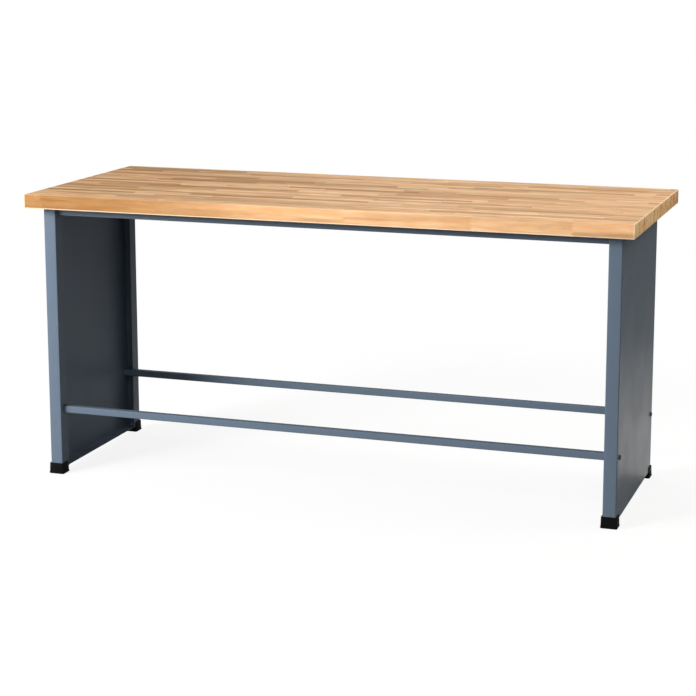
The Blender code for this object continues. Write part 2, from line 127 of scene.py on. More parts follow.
# Other finishes: pairs of tints, and the roughness at both ends of the span that a noise keeps to
NOISE_SPAN = (0.3, 0.7)
COAT_TINTS = ((0.087, 0.118, 0.159), (0.098, 0.132, 0.175))
COAT_GRAIN = (0.14, 0.175, 0.22)
COAT_GRAIN_SHARE = (0.35, 0.65, 0.0, 0.08)
COAT_GRAIN_RELIEF = 0.25
COAT_ROUGHNESS = (0.34, 0.42)
PLASTIC_TINTS = ((0.0012, 0.0016, 0.0014), (0.0030, 0.0036, 0.0034))
PLASTIC_ROUGHNESS = (0.46, 0.60)
ZINC_TINTS = ((0.46, 0.47, 0.48), (0.60, 0.61, 0.62))
ZINC_ROUGHNESS = (0.28, 0.42)
BLACKENED_TINTS = ((0.042, 0.043, 0.046), (0.070, 0.071, 0.075))
BLACKENED_ROUGHNESS = (0.34, 0.50)

# Folded side panels
SHEET = 0.0015
BEND_RADIUS = 0.003
LIP_DEPTH = 0.042
RELIEF_SLOT = 0.002
FLANGE_SETBACK = 0.001
TOP_FLANGE_START = 0.039
FOOT_FLANGE_START = 0.006
BEND_STEPS = 10
NOTCH_CLEARANCE = 0.001
BOLT_HOLE = 0.009
SCREW_SLOT = 0.007
SCREW_SLOT_TRAVEL = 0.008
FOOT_SCREW_HOLE = 0.0051

# Tubes, with driver holes in the lower wall of the rails
TUBE_WALL = 0.0015
TUBE_CORNER = 0.0025
TUBE_INNER_CORNER = 0.001
TUBE_STEPS = 8
SCREW_HOLE = 0.007
DRIVER_HOLE = 0.015

# Button-head bolts with a hexagon socket that is flared at its mouth and pointed at its floor
BOLT_HEAD_HEIGHT = 0.0044
BOLT_HEAD_RIM = 0.0008
BOLT_DIAMETER = 0.008
BOLT_CHAMFER = 0.001
SOCKET_ACROSS_FLATS = 0.005
SOCKET_DEPTH = 0.0026
SOCKET_LAND = 0.0008
SOCKET_FLARE = 1.06
SOCKET_FLARE_DEPTH = 0.0003
SOCKET_POINT = 0.2
SOCKET_POINT_DEPTH = 0.0008

# Pan-head screws: diameter, head height and length of the point
TOP_SCREW = (0.006, 0.0036, 0.008)
FOOT_SCREW = (0.0045, 0.0028, 0.0045)
SCREW_TIP = 0.0005
SCREW_NUMBERS = (1, 2, 3)

# Shares of a screw's head: its crown, its dome, and its cross recess as (reach, depth) from the floor up
PAN_CROWN = 0.60
PAN_DOME = 0.62
CROSS_REACH = 0.46
CROSS_LEVELS = ((0.25, 0.72), (0.92, 0.30), (1.0, 0.0))

# Half the angle of a cross recess's arm in degrees, and the angle up to which the arm's end is flat
CROSS_HALF_ARM = 15
CROSS_HALF_END = 15.1

# Steps up a dome and round a turned body
DOME_STEPS = 8
ROUND_STEPS = 48

# Moulded shoes
SHOE_CORNER = 0.004
SHOE_SOLE_ROUND = 0.0025
SHOE_BEAD = 0.0045
SHOE_STEP = 0.0008
SHOE_DRAFT = 0.0007
SHOE_RIM_ROUND = 0.001
SHOE_SEAT = 0.0157
SHOE_WALL = 0.0047
SHOE_STEPS = 6
SHOE_WELL = 0.0097
SHOE_WELL_DEPTH = 0.007

# How far a cutter passes the wall that it cuts
PAST = 0.005

# The angle from which an edge is shaded sharp, and the share of a normal from which a face counts as square
SHARP_ANGLE = math.radians(35)
SQUARE = 0.9999

# Studio: a floor that fades into white, a dim fill, the backdrop's share in gloss, and tints of lamps
FLOOR_RADIUS = 5.0
FLOOR_STEPS = 128
FLOOR_DULL = (0.29, 0.29, 0.29, 1)
FLOOR_PALE = (0.92, 0.92, 0.92, 1)
FLOOR_FADE = {"From Min": 0.9, "From Max": 2.0, "To Min": 0.86, "To Max": 1.0}
FILL_COLOUR = (0.95, 0.97, 1.0, 1)
FILL_STRENGTH = 0.06
BACKDROP_IN_GLOSS = 0.1
WHITE = (1, 1, 1, 1)
WARM = (1.0, 0.92, 0.80)
SLIGHTLY_WARM = (1.0, 0.96, 0.90)

# Camera, fitted to the corners of the top and the frame in the photograph
CAMERA_PLACE = (1.710, -5.062, 1.565)
CAMERA_YAW = 18.48
CAMERA_PITCH = 10.51
CAMERA_ROLL = -0.01
CAMERA_SENSOR = 36
CAMERA_LENS = 97.0
CAMERA_SHIFT = (-0.0178, -0.0984)
CAMERA_CLIP_END = 100

SIDES = ("left", "right")
ENDS = ("front", "rear")

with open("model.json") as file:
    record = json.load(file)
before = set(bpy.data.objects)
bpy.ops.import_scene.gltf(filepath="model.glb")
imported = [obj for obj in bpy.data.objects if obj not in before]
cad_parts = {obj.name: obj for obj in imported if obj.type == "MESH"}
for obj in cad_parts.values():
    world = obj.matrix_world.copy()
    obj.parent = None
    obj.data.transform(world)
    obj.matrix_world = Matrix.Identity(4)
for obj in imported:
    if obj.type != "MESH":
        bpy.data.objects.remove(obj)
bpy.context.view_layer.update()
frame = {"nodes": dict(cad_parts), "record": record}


def put(tree, socket, value):
    """Links a socket to a value that is another socket, or sets it."""
    if isinstance(value, bpy.types.NodeSocket):
        tree.links.new(value, socket)
    else:
        socket.default_value = value


def add_node(tree, kind, inputs=(), output=0, **settings):
    """Adds a node with its settings and inputs, and gives back one of its outputs."""
    node = tree.nodes.new(kind)
    for name, value in settings.items():
        setattr(node, name, value)
    for key, value in dict(inputs).items():
        put(tree, node.inputs[key], value)
    return node.outputs[output]


class Shade:
    """A material under construction: short calls that add nodes and give back their outputs."""

    def __init__(self, name):
        self.material = bpy.data.materials.new(name)
        self.material.use_nodes = True
        self.tree = self.material.node_tree
        self.shader = self.tree.nodes["Principled BSDF"]

    def add(self, kind, inputs=(), output=0, **settings):
        return add_node(self.tree, kind, inputs, output, **settings)

    def math(self, operation, *values):
        return self.add("ShaderNodeMath", enumerate(values), operation=operation)

    def vector(self, x, y, z):
        return self.add("ShaderNodeCombineXYZ", {0: x, 1: y, 2: z})

    def scaled(self, vector, scale):
        return self.add("ShaderNodeVectorMath", {0: vector, 1: scale}, operation="MULTIPLY")

    def plus(self, first, second):
        return self.add("ShaderNodeVectorMath", {0: first, 1: second}, operation="ADD")

    def split(self, vector):
        node = self.tree.nodes.new("ShaderNodeSeparateXYZ")
        put(self.tree, node.inputs[0], vector)
        return node.outputs[0], node.outputs[1], node.outputs[2]

    def noise(self, vector, scale=1.0, detail=2.0):
        return self.add("ShaderNodeTexNoise", {"Vector": vector, "Scale": scale, "Detail": detail})

    def random(self, vector):
        """A random value and a random colour for each different vector."""
        node = self.tree.nodes.new("ShaderNodeTexWhiteNoise")
        node.noise_dimensions = "3D"
        put(self.tree, node.inputs["Vector"], vector)
        return node.outputs["Value"], node.outputs["Color"]

    def ramp(self, value, stops):
        node = self.tree.nodes.new("ShaderNodeValToRGB")
        put(self.tree, node.inputs[0], value)
        elements = node.color_ramp.elements
        while len(elements) < len(stops):
            elements.new(1.0)
        for element, (place, colour) in zip(elements, stops):
            element.position = place
            element.color = (*colour, 1)
        return node.outputs[0]

    def remap(self, value, low, high, new_low=0.0, new_high=1.0, kind="LINEAR"):
        inputs = {"Value": value, "From Min": low, "From Max": high, "To Min": new_low, "To Max": new_high}
        return self.add("ShaderNodeMapRange", inputs, interpolation_type=kind)

    def mix(self, share, first, second, blend="MIX"):
        node = self.tree.nodes.new("ShaderNodeMix")
        node.data_type = "RGBA"
        node.blend_type = blend
        put(self.tree, node.inputs["Factor"], share)
        put(self.tree, node.inputs["A"], first if isinstance(first, bpy.types.NodeSocket) else (*first, 1))
        put(self.tree, node.inputs["B"], second if isinstance(second, bpy.types.NodeSocket) else (*second, 1))
        return node.outputs["Result"]

    def times(self, first, second):
        return self.mix(1.0, first, second, "MULTIPLY")

    def grey(self, value):
        return self.add("ShaderNodeCombineColor", {0: value, 1: value, 2: value})

    def places(self):
        return self.add("ShaderNodeTexCoord", output="Object")

    def normal(self):
        return self.add("ShaderNodeNewGeometry", output="True Normal")

    def bump(self, height, strength, distance):
        inputs = {"Height": height, "Strength": strength, "Distance": distance}
        put(self.tree, self.shader.inputs["Normal"], self.add("ShaderNodeBump", inputs))

    def set(self, **inputs):
        for name, value in inputs.items():
            put(self.tree, self.shader.inputs[name.replace("_", " ")], value)
        return self.material


def stave_layout(shade, place, low, width):
    """The stave at each place: its tone, its chance colour, and the ways from its middle line and joint."""
    x, y, z = place
    across = shade.math("DIVIDE", shade.math("SUBTRACT", y, low.y), width)
    row = shade.math("FLOOR", across)
    in_row = shade.math("MULTIPLY", shade.math("SUBTRACT", shade.math("FRACT", across), 0.5), width)
    row_value, _ = shade.random(shade.vector(row, *ROW_SEED))
    row_shift = shade.math("MULTIPLY", row_value, ROW_SHIFT)
    finger = shade.math("PINGPONG", z, FINGER_PITCH / 2)
    finger = shade.math("MULTIPLY", finger, 2 * FINGER_LENGTH / FINGER_PITCH)
    along = shade.math("DIVIDE", shade.math("ADD", x, finger), STAVE_LENGTH)
    along = shade.math("ADD", along, row_shift)
    cell = shade.math("FLOOR", along)
    joint_value, _ = shade.random(shade.vector(row, cell, JOINT_SEED))
    joint = shade.math("ADD", cell, shade.math("MULTIPLY", joint_value, JOINT_SPREAD))
    gap = shade.math("MULTIPLY", shade.math("ABSOLUTE", shade.math("SUBTRACT", along, joint)), STAVE_LENGTH)
    stave = shade.math("SUBTRACT", cell, shade.math("LESS_THAN", along, joint))

    # A short block closes the front stave at its left end
    front_row = shade.math("LESS_THAN", row, 0.5)
    closing = shade.math("MULTIPLY", front_row, shade.math("LESS_THAN", x, END_BLOCK))
    stave = shade.math("SUBTRACT", stave, shade.math("MULTIPLY", closing, END_BLOCK_STEP))
    tone, colour = shade.random(shade.vector(row, stave, STAVE_SEED))

    # The darkest staves lie in the left half
    stave_place = shade.math("SUBTRACT", shade.math("ADD", stave, STAVE_MIDDLE), row_shift)
    tone = shade.math("MAXIMUM", tone, shade.remap(stave_place, *DARK_STAVES))

    # The front stave, which the edge shows, varies less
    calmer = shade.math("MULTIPLY_ADD", tone, *FRONT_CALM)
    tone = shade.math("ADD", tone, shade.math("MULTIPLY", front_row, calmer))
    return tone, colour, in_row, gap


def growth_rings(shade, places, in_row, low, colour):
    """Growth rings about a pith of its own for each stave, which leans a little along the stave."""
    x, _, z = shade.split(places)
    first, second, third = shade.split(colour)
    step = shade.vector(0.0, 0.0, shade.math("MULTIPLY", first, RING_WARP_STEP))
    warp = shade.noise(shade.plus(shade.scaled(places, RING_WARP_SCALE), step), detail=1.5)
    warp = shade.math("MULTIPLY", shade.math("SUBTRACT", warp, 0.5), RING_WARP)
    side = shade.math("MULTIPLY", shade.math("SUBTRACT", second, 0.5), PITH_SIDE)
    side = shade.math("SUBTRACT", in_row, side)
    depth = shade.math("MULTIPLY_ADD", third, PITH_DEPTH_SPREAD, PITH_DEPTH)
    depth = shade.math("ADD", shade.math("SUBTRACT", z, low.z), depth)
    radius = shade.math("ADD", shade.math("POWER", side, 2), shade.math("POWER", depth, 2))
    radius = shade.math("SQRT", radius)
    lean = shade.math("MULTIPLY", shade.math("SUBTRACT", first, 0.5), PITH_LEAN)
    radius = shade.math("ADD", radius, shade.math("ADD", warp, shade.math("MULTIPLY", x, lean)))
    spacing = shade.math("MULTIPLY_ADD", third, RING_SPACING_SPREAD, RING_SPACING)
    ring = shade.math("FRACT", shade.math("DIVIDE", radius, spacing))
    fall = shade.math("SUBTRACT", 1.0, shade.math("POWER", ring, RING_FALL))
    return shade.math("MULTIPLY", shade.math("POWER", ring, RING_RISE), fall)


def painted_edge_light(shade, wood, place, low, high):
    """Paints light and shade on the edges: the front edge darker and warmer at the left and lit paler at the
    right, and the end grain lit pale.
    """
    x, y, _ = place
    turn_x, turn_y, _ = shade.split(shade.normal())
    front_edge = shade.remap(turn_y, -EDGE_FROM, -EDGE_FULL)
    # Painted shade and light: the front edge is darkened and warmed towards the left and painted paler
    # towards the right
    front_light_tint = shade.mix(shade.remap(x, *FRONT_EDGE_LIGHT_SPAN, kind="SMOOTHSTEP"), *FRONT_EDGE_LIGHT_TINTS)
    wood = shade.mix(front_edge, wood, shade.times(wood, front_light_tint))
    end_edge = shade.remap(shade.math("ABSOLUTE", turn_x), EDGE_FROM, EDGE_FULL)
    # Painted light: the end grain is painted pale, palest at the front
    end_light_tint = shade.mix(shade.remap(y, low.y, high.y), *END_GRAIN_LIGHT_TINTS)
    wood = shade.mix(end_edge, wood, shade.times(wood, end_light_tint))
    return shade.mix(1.0, wood, PALEST_WOOD, "DARKEN")


def painted_arris_highlights(shade, wood, place, low, high):
    """Paints highlights on the eased edges: the lower ones, the upright corners, and the upper ones at both
    ends.
    """
    x, y, z = place
    reach_x = shade.math("SUBTRACT", high.x, shade.math("ABSOLUTE", x))
    reach_y = shade.math("SUBTRACT", high.y, shade.math("ABSOLUTE", y))
    lower = shade.math("MINIMUM", shade.math("MAXIMUM", reach_x, reach_y), shade.math("SUBTRACT", z, low.z))
    arris = shade.math("MAXIMUM", shade.math("MINIMUM", reach_x, reach_y), lower)
    upper = shade.math("MAXIMUM", reach_x, shade.math("SUBTRACT", high.z, z))
    arris = shade.math("MINIMUM", arris, upper)
    # Painted highlight: a pale colour laid along the eased edges
    return shade.mix(shade.remap(arris, *ARRIS_HIGHLIGHT_FADE), wood, ARRIS_HIGHLIGHT_COLOUR)


def beech():
    """Solid beech in glued staves: rings and fibre run through the wood, so the ends show end grain."""
    shade = Shade("beech_staves")
    low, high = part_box("worktop")
    width = (high.y - low.y) / STAVE_ROWS
    places = shade.places()
    place = shade.split(places)
    tone, colour, in_row, gap = stave_layout(shade, place, low, width)
    ring = growth_rings(shade, places, in_row, low, colour)

    # Fibre, streaks, figure and heartwood, and the short dark flecks of beech
    shift = shade.plus(places, shade.scaled(colour, PATTERN_STEP))
    fibre = shade.noise(shade.scaled(shift, FIBRE_SCALE), detail=3)
    streak = shade.noise(shade.scaled(shift, STREAK_SCALE), detail=3)
    figure = shade.noise(shade.scaled(shift, FIGURE_SCALE), detail=2)
    heart = shade.remap(shade.noise(shade.scaled(shift, HEART_SCALE), detail=2), *HEART_SPAN)
    fleck = shade.remap(shade.noise(shade.scaled(shift, FLECK_SCALE), detail=1), *FLECK_SPAN)

    wood = shade.ramp(tone, STAVE_TONES)
    wood = shade.times(wood, shade.mix(shade.split(colour)[1], *STAVE_TINTS))
    wood = shade.times(wood, shade.mix(shade.remap(figure, *FIGURE_SPAN), *FIGURE_TINTS))
    # Painted shade: the wood is darkened towards the left end of the top
    wood = shade.times(wood, shade.mix(shade.remap(place[0], low.x, LEFT_SHADE_END), *LEFT_SHADE_TINTS))
    shadow = shade.remap(ring, *RING_SHADE)
    patterns = (fibre, streak, figure, heart, fleck)
    shades = (FIBRE_SHADE, STREAK_SHADE, FIGURE_SHADE, HEART_SHADE, FLECK_SHADE)
    for pattern, span in zip(patterns, shades):
        shadow = shade.math("MULTIPLY", shadow, shade.remap(pattern, *span))
    wood = shade.times(wood, shade.grey(shadow))

    # Hairline glue joints between rows and at the ends of staves
    edge = shade.math("SUBTRACT", width / 2, shade.math("ABSOLUTE", in_row))
    line = shade.remap(shade.math("MINIMUM", edge, gap), *GLUE_FADE)
    wood = shade.mix(shade.math("MULTIPLY", line, GLUE_SHARE), wood, GLUE_COLOUR)

    wood = painted_edge_light(shade, wood, place, low, high)
    wood = painted_arris_highlights(shade, wood, place, low, high)
    height = shade.math("MULTIPLY", fibre, FIBRE_RELIEF)
    height = shade.math("ADD", height, shade.math("MULTIPLY", fleck, FLECK_RELIEF))
    height = shade.math("SUBTRACT", height, shade.math("MULTIPLY", line, GLUE_RELIEF))
    shade.bump(height, strength=0.12, distance=0.0004)
    gloss = shade.remap(fibre, *WOOD_ROUGHNESS)
    return shade.set(Base_Color=wood, Roughness=gloss, Specular_IOR_Level=0.06)


def powder_coat():
    """Semi-gloss blue-grey powder coat: a faint orange peel, and a little unevenness in colour and gloss."""
    shade = Shade("blue_grey_powder_coat")
    places = shade.places()
    mottle = shade.noise(places, scale=7.0, detail=3.0)
    peel = shade.noise(places, scale=520.0, detail=2.0)
    grain = shade.noise(places, scale=2600.0, detail=1.0)
    tint = shade.mix(mottle, *COAT_TINTS)
    tint = shade.mix(shade.remap(grain, *COAT_GRAIN_SHARE), tint, COAT_GRAIN)
    height = shade.math("ADD", peel, shade.math("MULTIPLY", grain, COAT_GRAIN_RELIEF))
    shade.bump(height, strength=0.10, distance=0.00025)
    gloss = shade.remap(mottle, *NOISE_SPAN, *COAT_ROUGHNESS)
    return shade.set(Base_Color=tint, Roughness=gloss, Specular_IOR_Level=0.42)


def moulded_plastic():
    """Black moulded plastic with a fine spark-eroded texture."""
    shade = Shade("black_moulded_plastic")
    places = shade.places()
    grain = shade.noise(places, scale=1700.0, detail=2.0)
    scuff = shade.noise(places, scale=60.0, detail=3.0)
    tint = shade.mix(scuff, *PLASTIC_TINTS)
    shade.bump(grain, strength=0.25, distance=0.0002)
    gloss = shade.remap(scuff, *NOISE_SPAN, *PLASTIC_ROUGHNESS)
    return shade.set(Base_Color=tint, Roughness=gloss, Specular_IOR_Level=0.15)


def plated_steel(name, tints, roughness, metallic):
    """Plated or blackened steel with a cloudy skin and fine tool marks."""
    shade = Shade(name)
    places = shade.places()
    cloud = shade.noise(places, scale=180.0, detail=3.0)
    marks = shade.noise(places, scale=2400.0, detail=2.0)
    tint = shade.mix(shade.remap(cloud, *NOISE_SPAN), *tints)
    shade.bump(marks, strength=0.15, distance=0.0001)
    gloss = shade.remap(cloud, *NOISE_SPAN, *roughness)
    return shade.set(Base_Color=tint, Roughness=gloss, Metallic=metallic)


def arc(centre, radius, start, end, steps):
    """Points on an arc, both ends included. Angles in degrees."""
    points = []
    for step in range(steps + 1):
        angle = math.radians(start + (end - start) * step / steps)
        points.append((centre[0] + radius * math.cos(angle), centre[1] + radius * math.sin(angle)))
    return points


def rounded_rectangle(width, height, radius, steps):
    """An outline about the origin, anticlockwise."""
    across = width / 2 - radius
    up = height / 2 - radius
    outline = []
    for quarter, centre in enumerate(((across, up), (-across, up), (-across, -up), (across, -up))):
        outline += arc(centre, radius, 90 * quarter, 90 * quarter + 90, steps)
    return outline


def loft(bm, rings, closed=False):
    """Adds walls that join each ring of points to the next: a ring-shaped body if closed, or a capped one."""
    loops = [[bm.verts.new(point) for point in ring] for ring in rings]
    for low, high in zip(loops, loops[1:] + loops[:1] if closed else loops[1:]):
        for i in range(len(low)):
            j = (i + 1) % len(low)
            bm.faces.new((low[i], low[j], high[j], high[i]))
    if not closed:
        bm.faces.new(reversed(loops[0]))
        bm.faces.new(loops[-1])
    bmesh.ops.recalc_face_normals(bm, faces=bm.faces)


def turned(levels):
    """A closed body about Z through (radius, height) levels. A radius may be a function of the angle."""
    rings = []
    for radius, height in levels:
        ring = []
        for i in range(ROUND_STEPS):
            turn = 2 * math.pi * i / ROUND_STEPS
            out = radius(turn) if callable(radius) else radius
            ring.append((out * math.cos(turn), out * math.sin(turn), height))
        rings.append(ring)
    bm = bmesh.new()
    loft(bm, rings)
    return bm


def rod(bm, diameter, start, end):
    """Adds a closed cylinder between two points, as a cutter."""
    low = Vector(start)
    high = Vector(end)
    turn = (high - low).to_track_quat("Z", "Y").to_matrix().to_4x4()
    bmesh.ops.create_cone(
        bm, cap_ends=True, segments=ROUND_STEPS // 2, radius1=diameter / 2, radius2=diameter / 2,
        depth=(high - low).length, matrix=Matrix.Translation((low + high) / 2) @ turn,
    )


def prism(bm, outline, low, high):
    """Adds a closed upright prism between two heights, as a cutter."""
    loft(bm, [[(x, y, height) for x, y in outline] for height in (low, high)])


def as_mesh(bm, name):
    mesh = bpy.data.meshes.new(name)
    bm.to_mesh(mesh)
    bm.free()
    return mesh


def link(name, mesh):
    made = bpy.data.objects.new(name, mesh)
    bpy.context.collection.objects.link(made)
    return made


def worked(body, cutters, thickness=0):
    """The mesh of a body after it is given a sheet's thickness and each cutter is taken out of it."""
    blank = link("blank", as_mesh(body, "blank"))
    helpers = [blank]
    if thickness:
        skin = blank.modifiers.new("Sheet", "SOLIDIFY")
        skin.thickness = thickness
        skin.offset = -1
        skin.use_even_offset = True
    for cutter in cutters:
        helper = link("cutter", as_mesh(cutter, "cutter"))
        helpers.append(helper)
        cut = blank.modifiers.new("Cut", "BOOLEAN")
        cut.operation = "DIFFERENCE"
        cut.solver = "EXACT"
        cut.object = helper
    graph = bpy.context.evaluated_depsgraph_get()
    mesh = bpy.data.meshes.new_from_object(blank.evaluated_get(graph))
    for helper in helpers:
        spare = helper.data
        bpy.data.objects.remove(helper)
        bpy.data.meshes.remove(spare)
    return mesh


def piece(node, mesh, material):
    """A new piece that stands for a CAD node: flat where it is square to an axis, and smooth elsewhere."""
    mesh.materials.clear()
    mesh.materials.append(material)
    for face in mesh.polygons:
        face.use_smooth = max(abs(part) for part in face.normal) < SQUARE
    mesh.set_sharp_from_angle(angle=SHARP_ANGLE)
    made = link(node + "_fine", mesh)
    mesh.name = made.name
    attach(made, "root")
    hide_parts(node)


def middle(node):
    low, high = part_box(node)
    return (low + high) / 2


def make_board(material):
    """The glued board with its edges finely eased."""
    low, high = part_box("worktop")
    size = high - low
    rings = []
    for across, up in arc((TOP_EASE, TOP_EASE), TOP_EASE, 270, 180, EASE_STEPS):
        outline = rounded_rectangle(size.x - 2 * across, size.y - 2 * across, TOP_EASE, EASE_STEPS)
        rings.append([(px, py, low.z + up) for px, py in outline])
    for ring in rings[::-1]:
        rings.append([(px, py, low.z + high.z - pz) for px, py, pz in ring])
    bm = bmesh.new()
    loft(bm, rings)
    piece("worktop", as_mesh(bm, "worktop"), material)


def panel_plan(width, depth):
    """The outside of the folded sheet from above, as (inwards, backwards) from the front outer corner."""
    radius = BEND_RADIUS
    front = [(width, LIP_DEPTH)]
    front += arc((width - radius, radius), radius, 0, -90, BEND_STEPS)
    front += arc((radius, radius), radius, -90, -180, BEND_STEPS)
    for start in (FOOT_FLANGE_START, TOP_FLANGE_START):
        front += [(0, start - RELIEF_SLOT), (0, start)]
    return front + [(inwards, depth - back) for inwards, back in reversed(front)]


def edge_fold(height, flange_height, reach):
    """Points that fold the web's edge inwards, as (inwards, height), from the web to the free edge."""
    turn = math.copysign(1, flange_height - height)
    fold = [(BEND_RADIUS - x, height + turn * y) for x, y in arc((0, 0), BEND_RADIUS, 0, 90, BEND_STEPS)]
    return fold + [(reach, flange_height)]


def panel_skin(low, high, inwards):
    """The panel's outer skin as one open surface."""
    bm = bmesh.new()
    made = {}
    face_x = low.x if inwards > 0 else high.x
    width = high.x - low.x
    depth = high.y - low.y

    def corner(across, back, height):
        key = (round(across, 6), round(back, 6), round(height, 6))
        if key not in made:
            made[key] = bm.verts.new((face_x + inwards * across, low.y + back, height))
        return made[key]

    def strip(near, far):
        for (a, b), (c, d) in zip(zip(near, near[1:]), zip(far, far[1:])):
            bm.faces.new((corner(*a), corner(*b), corner(*d), corner(*c)))

    edges = (
        (low.z + BEND_RADIUS, low.z, FOOT_FLANGE_START),
        (high.z - BEND_RADIUS, high.z, TOP_FLANGE_START),
    )
    plan = panel_plan(width, depth)
    for near, far in zip(plan, plan[1:]):
        strip([(*near, edges[0][0]), (*near, edges[1][0])], [(*far, edges[0][0]), (*far, edges[1][0])])
        for height, flange_height, start in edges:
            on_web = near[0] == 0 and far[0] == 0
            between = (near[1] + far[1]) / 2
            if on_web and start < between < depth - start:
                fold = edge_fold(height, flange_height, width - SHEET - FLANGE_SETBACK)
                rows = [[(x, back, z) for x, z in fold] for _, back in (near, far)]
            elif on_web and start - RELIEF_SLOT < between < depth - start + RELIEF_SLOT:
                continue
            else:
                rows = [[(*point, height), (*point, flange_height)] for point in (near, far)]
            strip(*rows)
    bmesh.ops.recalc_face_normals(bm, faces=bm.faces)
    bm.faces.ensure_lookup_table()
    web = max(bm.faces, key=lambda face: face.calc_area())
    if web.normal.x * inwards > 0:
        bmesh.ops.reverse_faces(bm, faces=bm.faces)
    return bm


def notch_lips(bm, side, low, high):
    """Adds the notches that let the tubes through a panel's lips, open at the lips' free edges."""
    reach = SHEET + FLANGE_SETBACK / 2
    near, far = (high.x - reach, high.x + PAST) if side == "left" else (low.x - PAST, low.x + reach)
    for end in ENDS:
        for kind, above in (("stretcher", NOTCH_CLEARANCE), ("top_rail", PAST)):
            tube_low, tube_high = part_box(f"{kind}_{end}")
            front, rear = tube_low.y - NOTCH_CLEARANCE, low.y + LIP_DEPTH + PAST
            if end == "rear":
                front, rear = high.y - LIP_DEPTH - PAST, tube_high.y + NOTCH_CLEARANCE
            outline = [(near, front), (far, front), (far, rear), (near, rear)]
            prism(bm, outline, tube_low.z - NOTCH_CLEARANCE, tube_high.z + above)


def panel_holes(side, low, high):
    """The notches in a panel, and its holes for the bolts, the screws of the top and those of the shoes."""
    bm = bmesh.new()
    notch_lips(bm, side, low, high)
    across = (low.x + high.x) / 2
    reach = (high.x - low.x) / 2 + PAST
    outwards = math.copysign(1, across)
    for kind in ("stretcher", "rail"):
        for end in ENDS:
            place = middle(f"{kind}_bolt_{end}_{side}")
            rod(bm, BOLT_HOLE, (across, place.y, place.z), (across + outwards * reach, place.y, place.z))
    for i in SCREW_NUMBERS:
        place = middle(f"top_screw_{side}_{i}")
        half = SCREW_SLOT_TRAVEL / 2
        outline = arc((place.x, place.y + half), SCREW_SLOT / 2, 0, 180, TUBE_STEPS)
        outline += arc((place.x, place.y - half), SCREW_SLOT / 2, 180, 360, TUBE_STEPS)
        prism(bm, outline, high.z - SHEET - PAST, high.z + PAST)
    for end in ENDS:
        place = middle(f"foot_screw_{end}_{side}")
        rod(bm, FOOT_SCREW_HOLE, (place.x, place.y, low.z - PAST), (place.x, place.y, low.z + SHEET + PAST))
    return bm


def make_panels(material):
    """The folded panels with round bends."""
    for side, inwards in zip(SIDES, (1, -1)):
        node = f"side_panel_{side}"
        low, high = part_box(node)
        mesh = worked(panel_skin(low, high, inwards), [panel_holes(side, low, high)], SHEET)
        piece(node, mesh, material)


def tube_body(node):
    low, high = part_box(node)
    centre = (low + high) / 2
    depth = high.y - low.y
    height = high.z - low.z
    outer = rounded_rectangle(depth, height, TUBE_CORNER, TUBE_STEPS)
    inner = rounded_rectangle(depth - 2 * TUBE_WALL, height - 2 * TUBE_WALL, TUBE_INNER_CORNER, TUBE_STEPS)
    rings = []
    for outline, x in ((outer, low.x), (outer, high.x), (inner, high.x), (inner, low.x)):
        rings.append([(x, centre.y + y, centre.z + z) for y, z in outline])
    bm = bmesh.new()
    loft(bm, rings, closed=True)
    return bm


def make_tubes(material):
    """The stretchers, and the rails with a screw hole above and a driver hole below for each screw."""
    for end in ENDS:
        piece(f"stretcher_{end}", as_mesh(tube_body(f"stretcher_{end}"), "tube"), material)
        node = f"top_rail_{end}"
        low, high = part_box(node)
        holes = bmesh.new()
        for i in SCREW_NUMBERS:
            place = middle(f"top_screw_{end}_{i}")
            upper = high.z - TUBE_WALL - PAST
            lower = low.z + TUBE_WALL + PAST
            rod(holes, SCREW_HOLE, (place.x, place.y, upper), (place.x, place.y, high.z + PAST))
            rod(holes, DRIVER_HOLE, (place.x, place.y, low.z - PAST), (place.x, place.y, lower))
        piece(node, worked(tube_body(node), [holes]), material)


def hexagon(apothem):
    """The radius of a hexagon at an angle."""
    return lambda turn: apothem / math.cos(turn % (math.pi / 3) - math.pi / 6)


def cross(reach):
    """The radius of a cross recess at an angle: four arms with flat ends."""
    def radius(turn):
        off = abs((turn + math.pi / 4) % (math.pi / 2) - math.pi / 4)
        if off < math.radians(CROSS_HALF_END):
            return reach / math.cos(off)
        return reach * math.tan(math.radians(CROSS_HALF_ARM)) / math.sin(off)
    return radius


def make_bolt(side, node, material):
    """A button-head bolt with its socket."""
    low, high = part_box(node)
    top = high.x - low.x
    seat = top - BOLT_HEAD_HEIGHT
    head = (high.z - low.z) / 2
    shank = BOLT_DIAMETER / 2
    flat = SOCKET_ACROSS_FLATS / 2
    crown = flat / math.cos(math.pi / 6) + SOCKET_LAND
    rise = BOLT_HEAD_HEIGHT - BOLT_HEAD_RIM
    levels = [(shank - BOLT_CHAMFER, 0), (shank, BOLT_CHAMFER), (shank, seat), (head, seat)]
    for across, up in arc((0, 0), 1, 0, 90, DOME_STEPS):
        levels.append((crown + (head - crown) * across, seat + BOLT_HEAD_RIM + rise * up))
    socket = (
        (SOCKET_FLARE, 0.0),
        (1.0, SOCKET_FLARE_DEPTH),
        (1.0, SOCKET_DEPTH),
        (SOCKET_POINT, SOCKET_DEPTH + SOCKET_POINT_DEPTH),
    )
    for share, depth in socket:
        levels.append((hexagon(flat * share), top - depth))
    bm = turned(levels)
    outwards = 1 if side == "right" else -1
    start = low.x if outwards > 0 else high.x
    centre = (low + high) / 2
    turn = Matrix.Rotation(outwards * math.pi / 2, 4, "Y")
    bm.transform(Matrix.Translation((start, centre.y, centre.z)) @ turn)
    piece(node, as_mesh(bm, node), material)


